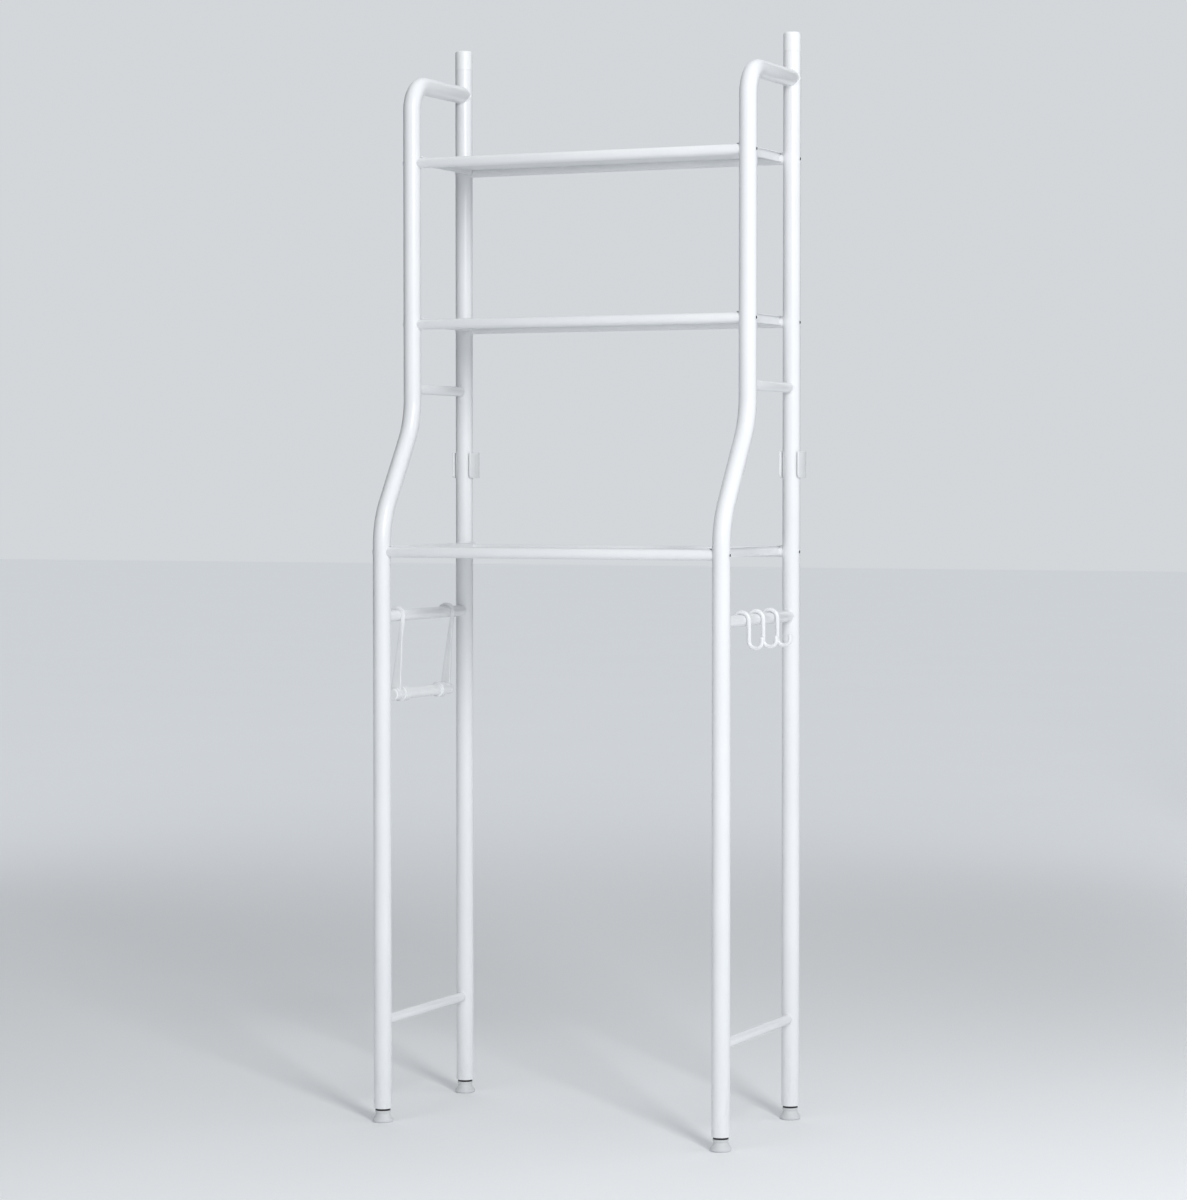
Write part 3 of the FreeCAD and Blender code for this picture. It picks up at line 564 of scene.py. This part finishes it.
def weld_bead(shape, post, outward, bar_radius, seed):
    """A rippled bead round a bar, where it meets a post; outward runs from post to bar."""
    draw = random.Random(seed)
    lateral = outward.cross(UP)
    phase = draw.random() * 2 * math.pi
    wander = draw.random() * 2 * math.pi
    path = []
    size = bar_radius + BEAD * BEAD_OFF_BAR
    for k in range(BEAD_POINTS):
        turn = 2 * math.pi * k / BEAD_POINTS
        aside = size * math.cos(turn)
        reach = math.sqrt(max((POST_RADIUS + BEAD * BEAD_OFF_POST) ** 2 - aside ** 2, 0))
        path.append(post + outward * reach + lateral * aside + UP * size * math.sin(turn))

    def thickness(index):
        turn = 2 * math.pi * index / BEAD_POINTS
        ripple = BEAD_RIPPLE * math.sin(BEAD_RIPPLES * turn + phase)
        return BEAD * (1 + ripple + BEAD_WANDER * math.sin(BEAD_WAVES * turn + wander))

    loop_bead(shape, path, thickness)


ARM_WELD_INSET = 0.3 * MM
HANG_BARS = {"left": "left_paper_bar", "right": "right_hook_bar"}
FIRST_SEEDS = {"left": 10, "right": 20}

for side in SIDES:
    shape = bmesh.new()
    seed = FIRST_SEEDS[side]
    for node in (f"{side}_mid_crossbar", f"{side}_bottom_crossbar", HANG_BARS[side]):
        middle = centre(node)
        front_y = UPPER_Y if "mid" in node else LOWER_Y
        for post_y, outward in ((front_y, BACK), (REAR_Y, -BACK)):
            seed += 1
            post = Vector((POST_X[side], post_y, middle.z))
            weld_bead(shape, post, outward, half_size(node).x, seed=seed)
    arm = Vector((POST_X[side], REAR_Y, ARM_Z))
    weld_bead(shape, arm, -BACK, POST_RADIUS - ARM_WELD_INSET, seed=seed + 1)
    mesh = mesh_from(shape, f"{side}_weld_beads")
    add_piece(f"{side}_weld_beads", mesh, "rack", "frame_coat", smooth_angle=60)

# ---------------------------------------------------------------- shelf bolts

BOLT_SHANK = 3 * MM
BOLT_LENGTH = 40 * MM
BOLT_TIP = 0.6 * MM
HEAD_RIM = 0.15 * MM
HEAD_EDGE = 0.1 * MM
HEAD_STEPS = 5
SOCKET_HALF = 2 * MM
SOCKET_DEPTH = 1.8 * MM
SOCKET_RIM = 1.25 * SOCKET_HALF
SOCKET_LEAD = 0.15 * MM
SOCKET_POINT = 0.5 * MM

# A bolt's turn in its hole, in radians per metre along Y
BOLT_TURN = 40


def hexagon(turn):
    """The radius of a hexagon's side at an angle; it has a corner at 0."""
    return SOCKET_HALF / math.cos(turn % (math.pi / 3) - math.pi / 6)


def bolt(shape, place, head_radius, head_height):
    """A flat bolt, conical under its head; its Z runs out of the head, from the post's side."""
    cone_top = head_height - HEAD_RIM
    cone_foot = cone_top - (head_radius - BOLT_SHANK)
    profile = [(0, -BOLT_LENGTH), (BOLT_SHANK - BOLT_TIP, -BOLT_LENGTH),
               (BOLT_SHANK, BOLT_TIP - BOLT_LENGTH), (BOLT_SHANK, cone_foot),
               (head_radius, cone_top)]
    profile += arc_points((head_radius - HEAD_EDGE, head_height - HEAD_EDGE), HEAD_EDGE, 0, 90,
                          HEAD_STEPS)
    mouth = head_height - SOCKET_LEAD
    floor_height = head_height - SOCKET_DEPTH
    profile += [(SOCKET_RIM, head_height), (hexagon, mouth)]
    lathe(shape, profile, place)
    # The inside of the socket takes the second material, darkened as painted shade
    inside = [(hexagon, mouth), (hexagon, floor_height), (0, floor_height - SOCKET_POINT)]
    for face in lathe(shape, inside, place):
        face.material_index = 1


for shelf in SHELVES:
    node = f"{shelf}_shelf_bolts"
    low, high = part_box(node)
    head_radius = (high.z - low.z) / 2
    head_height = high.x - POST_X["right"] - POST_RADIUS
    height = (low.z + high.z) / 2
    shape = bmesh.new()
    for side, outward in (("left", -1), ("right", 1)):
        for y in (low.y + head_radius, high.y - head_radius):
            seat = Vector((POST_X[side] + POST_RADIUS * outward, y, height))
            turned = Matrix.Rotation(math.pi / 2 * outward, 4, "Y")
            spin = Matrix.Rotation(y * BOLT_TURN + outward, 4, "Z")
            bolt(shape, Matrix.Translation(seat) @ turned @ spin, head_radius, head_height)
    bmesh.ops.remove_doubles(shape, verts=shape.verts, dist=WELDED)
    mesh = mesh_from(shape, node + "_detail")
    mesh.materials.append(MATERIALS["bolt_coat"])
    mesh.materials.append(SOCKET_STEEL_AND_SHADE)
    add_piece(node + "_detail", mesh, "rack", "bolt_coat", (node,))

# ---------------------------------------------------------------- foot studs

THREAD_PITCH = 1.25 * MM
THREAD_DEPTH = 0.7 * MM
THREAD_SIDES = 40
RINGS_PER_TURN = 8


def threaded_rod(shape, foot, radius, length):
    """A rod with a real helical thread that runs out at its tip."""
    rings = []
    count = int(length / THREAD_PITCH * RINGS_PER_TURN)
    for level in range(count + 1):
        height = length * level / count
        ring = []
        for k in range(THREAD_SIDES):
            turn = k / THREAD_SIDES
            wave = abs(2 * ((height / THREAD_PITCH - turn) % 1) - 1)
            taper = min(1.0, (length - height) / THREAD_PITCH)
            size = radius - THREAD_DEPTH * (1 - wave * taper)
            angle = 2 * math.pi * turn
            ring.append(shape.verts.new(foot + Vector((size * math.cos(angle),
                                                       size * math.sin(angle), height))))
        rings.append(ring)
    join_rings(shape, rings)
    shape.faces.new(rings[0])
    shape.faces.new(rings[-1])


FEET = [f"{side}_{row}_foot" for side in SIDES for row in ("front", "rear")]
for foot in FEET:
    node = foot + "_stud"
    low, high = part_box(node)
    middle = (low + high) / 2
    shape = bmesh.new()
    threaded_rod(shape, Vector((middle.x, middle.y, low.z)), half_size(node).x, high.z - low.z)
    mesh = mesh_from(shape, foot + "_thread")
    add_piece(foot + "_thread", mesh, foot, "zinc_steel", (node,), smooth_angle=75)

# ---------------------------------------------------------------- shelf sheet parts

CHANNEL_EDGE = 0.3 * MM
TACK_LENGTH = 5 * MM
TACK_SIZE = 0.9 * MM
TACK_SINK = 0.2 * MM
TACK_SHIFT = 4 * MM
TACK_VARIATION = (0.85, 1.2)
TACK_FULLNESS = 0.45
TACK_RIPPLE = 0.08
TACK_RIPPLES = 30
TACK_COUNT = 5
TACK_STEPS = 14
TACK_SIDES = 14

for shelf in SHELVES:
    for side in SIDES:
        refine(f"{shelf}_shelf_{side}_channel", CHANNEL_EDGE)


def tack_weld(shape, middle, along, draw):
    """A short bead, full in the middle, in the corner between the sheet and a rail."""
    length = TACK_LENGTH * draw.uniform(*TACK_VARIATION)
    rings = []
    for k in range(TACK_STEPS + 1):
        share = k / TACK_STEPS
        bulge = math.sin(math.pi * share) ** TACK_FULLNESS if 0 < share < 1 else 0
        ripple = 1 + TACK_RIPPLE * math.sin(share * TACK_RIPPLES)
        point = middle + along * length * (share - 0.5) * 2
        if bulge == 0:
            rings.append([shape.verts.new(point)])
        else:
            size = TACK_SIZE * bulge * ripple
            rings.append(tube_ring(shape, point, along, UP, size, TACK_SIDES))
    join_rings(shape, rings)


for shelf in SHELVES:
    draw = random.Random(len(shelf))
    panel_low, panel_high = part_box(f"{shelf}_shelf_panel")
    shape = bmesh.new()
    for row, inward in (("front", 1), ("rear", -1)):
        rail = f"{shelf}_shelf_{row}_rail"
        middle = centre(rail)
        radius = half_size(rail).z
        rise = panel_low.z - middle.z
        corner = middle.y + inward * math.sqrt(radius ** 2 - rise ** 2)
        for k in range(TACK_COUNT):
            x = panel_low.x + (panel_high.x - panel_low.x) * (k + 0.5) / TACK_COUNT
            x += draw.uniform(-TACK_SHIFT, TACK_SHIFT)
            tack_weld(shape, Vector((x, corner, panel_low.z - TACK_SINK)), RIGHT, draw)
    mesh = mesh_from(shape, f"{shelf}_shelf_tack_welds")
    add_piece(f"{shelf}_shelf_tack_welds", mesh, "rack", "panel_coat", smooth_angle=60)

# ---------------------------------------------------------------- moulded parts

CLIP_EDGE = 0.4 * MM
ARM_EDGE = 0.8 * MM

for side in SIDES:
    refine(f"{side}_wall_clip", CLIP_EDGE)
for row in ("front", "rear"):
    refine(f"paper_{row}_arm", ARM_EDGE, segments=4)

# ---------------------------------------------------------------- CAD nodes that stay

for name, node in nodes.items():
    node.data.materials.clear()
    node.data.materials.append(MATERIALS[NODE_SLOTS[name]])

# ---------------------------------------------------------------- floor, light and camera

FLOOR_HALF = 30.0
floor_mesh = bpy.data.meshes.new("floor")
corners = [(-FLOOR_HALF, -FLOOR_HALF, 0), (FLOOR_HALF, -FLOOR_HALF, 0),
           (FLOOR_HALF, FLOOR_HALF, 0), (-FLOOR_HALF, FLOOR_HALF, 0)]
floor_mesh.from_pydata(corners, [], [(0, 1, 2, 3)])
floor = bpy.data.objects.new("floor", floor_mesh)
scene.collection.objects.link(floor)
floor_paint = Paint("studio_floor")
floor_paint.colour(floor_paint.blend(floor_paint.noise(1.5), (0.925, 0.935, 0.945),
                                     (0.945, 0.955, 0.965)))
floor_paint.set(roughness=1.0, specular_ior_level=0.0)
floor_mesh.materials.append(floor_paint.material)


def area_light(name, place, target, size, power):
    """A soft rectangular lamp that points at a target."""
    lamp = bpy.data.lights.new(name, "AREA")
    lamp.shape = "RECTANGLE"
    lamp.size, lamp.size_y = size
    lamp.energy = power
    item = bpy.data.objects.new(name, lamp)
    scene.collection.objects.link(item)
    item.location = place
    item.rotation_euler = (Vector(target) - Vector(place)).to_track_quat("-Z", "Y").to_euler()


WORLD_COLOUR = (0.93, 0.965, 1.0, 1)
WORLD_STRENGTH = 0.7

CAMERA_PLACE = (1.981, -4.339, 0.891)
CAMERA_HEADING = math.radians(24.543)
CAMERA_DROP = math.radians(1.932)
LENS = 102.6
SENSOR_WIDTH = 36
CLIP_END = 200
ACROSS = Vector((math.cos(CAMERA_HEADING), math.sin(CAMERA_HEADING), 0))
AWAY = Vector((-math.sin(CAMERA_HEADING), math.cos(CAMERA_HEADING), 0))
MIDDLE = Vector((0, 0, 0.8))
UPPER_MIDDLE = Vector((0, 0, 1.2))


def studio_place(right, away, height):
    """A point round the rack, as seen from the camera's side."""
    return ACROSS * right + AWAY * away + UP * height


def dark_card(name, right, near, far, low, high):
    """An upright black card beside the rack, out of the picture, that draws its edges."""
    mesh = bpy.data.meshes.new(name)
    first = studio_place(right, near, low)
    last = studio_place(right, far, low)
    rise = UP * (high - low)
    mesh.from_pydata([first, last, last + rise, first + rise], [], [(0, 1, 2, 3)])
    card = bpy.data.objects.new(name, mesh)
    scene.collection.objects.link(card)
    paint = Paint(name + "_cloth")
    paint.colour(paint.blend(paint.noise(40), (0.02, 0.02, 0.02), (0.03, 0.03, 0.03)))
    paint.set(roughness=0.9, specular_ior_level=0.1)
    mesh.materials.append(paint.material)
    card.visible_camera = False


area_light("key", studio_place(1.1, -3.2, 2.5), UPPER_MIDDLE, (0.6, 2.0), 64)
area_light("top", studio_place(0.3, 0.3, 4.0), MIDDLE, (2.4, 2.4), 8)
dark_card("left_card", -1.9, -1.4, 3.0, 0.5, 3.4)
dark_card("right_card", 1.5, 0.3, 3.0, 0.5, 3.0)

world = bpy.data.worlds.new("studio")
world.use_nodes = True
background = world.node_tree.nodes["Background"]
background.inputs["Color"].default_value = WORLD_COLOUR
background.inputs["Strength"].default_value = WORLD_STRENGTH
scene.world = world
scene.view_settings.view_transform = "Standard"

camera_data = bpy.data.cameras.new("camera")
camera_data.lens = LENS
camera_data.sensor_width = SENSOR_WIDTH
camera_data.clip_end = CLIP_END
camera = bpy.data.objects.new("camera", camera_data)
camera.location = CAMERA_PLACE
camera.rotation_euler = (math.pi / 2 - CAMERA_DROP, 0, CAMERA_HEADING)
scene.collection.objects.link(camera)
scene.camera = camera
